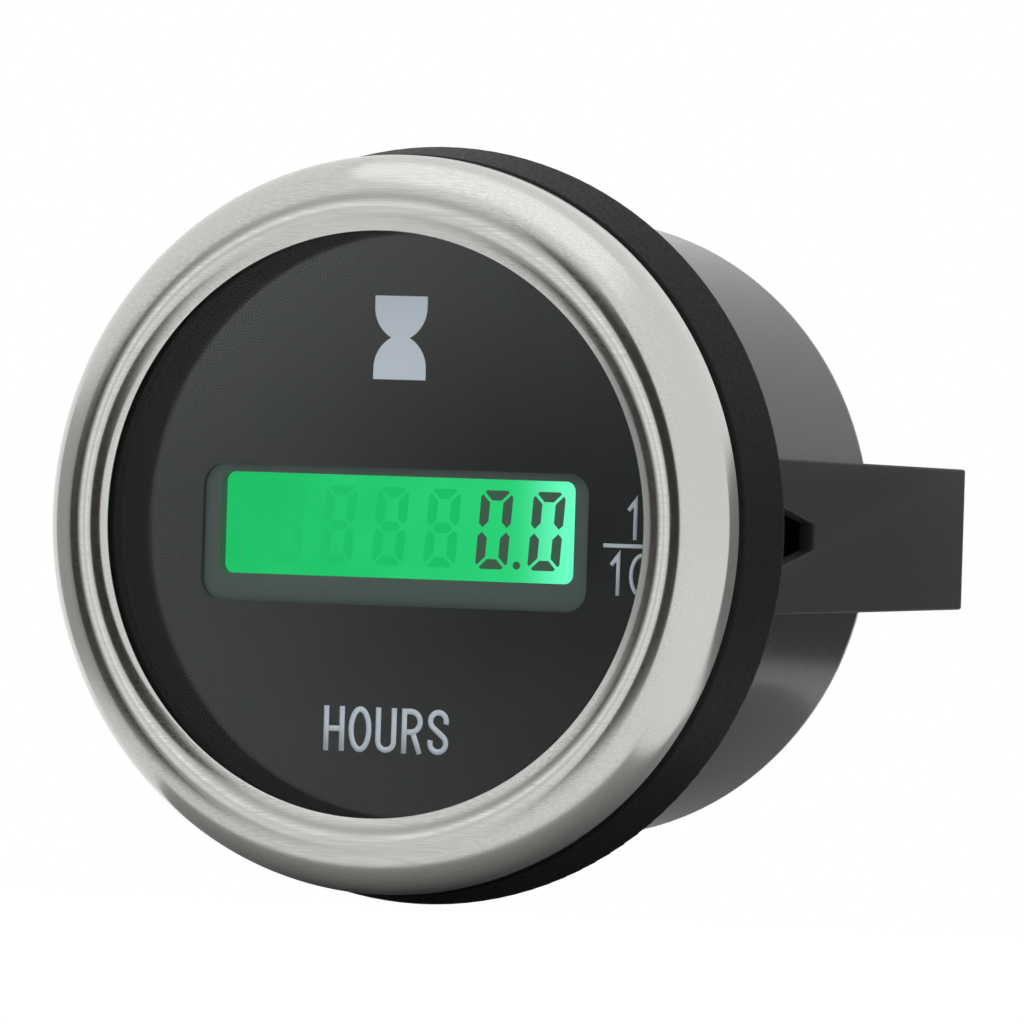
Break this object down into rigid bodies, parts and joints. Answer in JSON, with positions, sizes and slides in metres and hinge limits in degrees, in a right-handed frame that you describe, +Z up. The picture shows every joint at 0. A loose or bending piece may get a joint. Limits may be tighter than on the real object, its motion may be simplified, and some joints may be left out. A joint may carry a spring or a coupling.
{
  "type": "panel hour meter",
  "caption": "Round panel hour meter: brushed bezel and clear lens over a black dial with a lit green counter, thick gasket ring, dark case and a U clamp on studs behind.",
  "frame": {"origin": "centre of the panel cut-out, on the panel's front face, which is the gasket's back face", "axes": "-Y out of the dial towards the reader, +Y back through the panel, +Z up the dial, +X to the right"},
  "size_m": [0.062, 0.0677, 0.062],
  "materials": {
    "stainless": "straight brushed stainless",
    "lens_clear": "polished clear",
    "gasket_rubber": "matte moulded rubber",
    "dial_black": "satin print",
    "ring_black": "matte moulded",
    "holder_grey": "satin moulded",
    "lcd_green": "lit display glass",
    "guide_clear": "frosted acrylic",
    "strip_grey": "layered contact rubber",
    "board_green": "solder mask over glass laminate",
    "chip_black": "moulded epoxy",
    "can_metal": "drawn can",
    "sleeve_blue": "shrunk sleeve",
    "lamp_white": "moulded lamp body",
    "case_black": "glossy moulded",
    "tinned_brass": "tinned",
    "zinc_steel": "bright zinc plate",
    "bracket_coat": "dark satin coat"
  },
  "bodies": {
    "meter": {"bezel": "stainless", "lens": "lens_clear", "lens_gasket": "gasket_rubber", "dial_spacer": "ring_black", "dial_plate": "dial_black", "lcd_holder": "holder_grey", "lcd_panel": "lcd_green", "light_guide": "guide_clear", "contact_strips": "strip_grey", "circuit_board": "board_green", "backlight_leds": "lamp_white", "controller_chip": "chip_black", "memory_chip": "chip_black", "quartz_crystal": "can_metal", "supply_capacitor": "sleeve_blue", "voltage_regulator": "chip_black", "input_diode": "chip_black", "resistors": "chip_black", "board_screws": "zinc_steel", "case": "case_black", "panel_gasket": "gasket_rubber", "positive_terminal": "tinned_brass", "negative_terminal": "tinned_brass", "mounting_studs": "zinc_steel"},
    "clamp": {"clamp_bracket": "bracket_coat", "flat_washers": "zinc_steel", "spring_washers": "zinc_steel"},
    "left_nut": {"nut_left": "zinc_steel"},
    "right_nut": {"nut_right": "zinc_steel"}
  },
  "joints": [
    {"name": "clamp_slide", "type": "slide", "parent": "meter", "child": "clamp", "axis": [0, 1, 0], "range_m": [-0.0025, 0.0025]},
    {"name": "left_nut_turn", "type": "hinge", "parent": "clamp", "child": "left_nut", "pos_m": [-0.014, 0.0498, 0], "axis": [0, 1, 0], "range_deg": [-1287, 1287]},
    {"name": "right_nut_turn", "type": "hinge", "parent": "clamp", "child": "right_nut", "pos_m": [0.014, 0.0498, 0], "axis": [0, 1, 0], "range_deg": [-1287, 1287]}
  ],
  "couplings": [
    {"joint": "left_nut_turn", "follows": "clamp_slide", "rad_per_m": 8976},
    {"joint": "right_nut_turn", "follows": "clamp_slide", "rad_per_m": 8976}
  ]
}
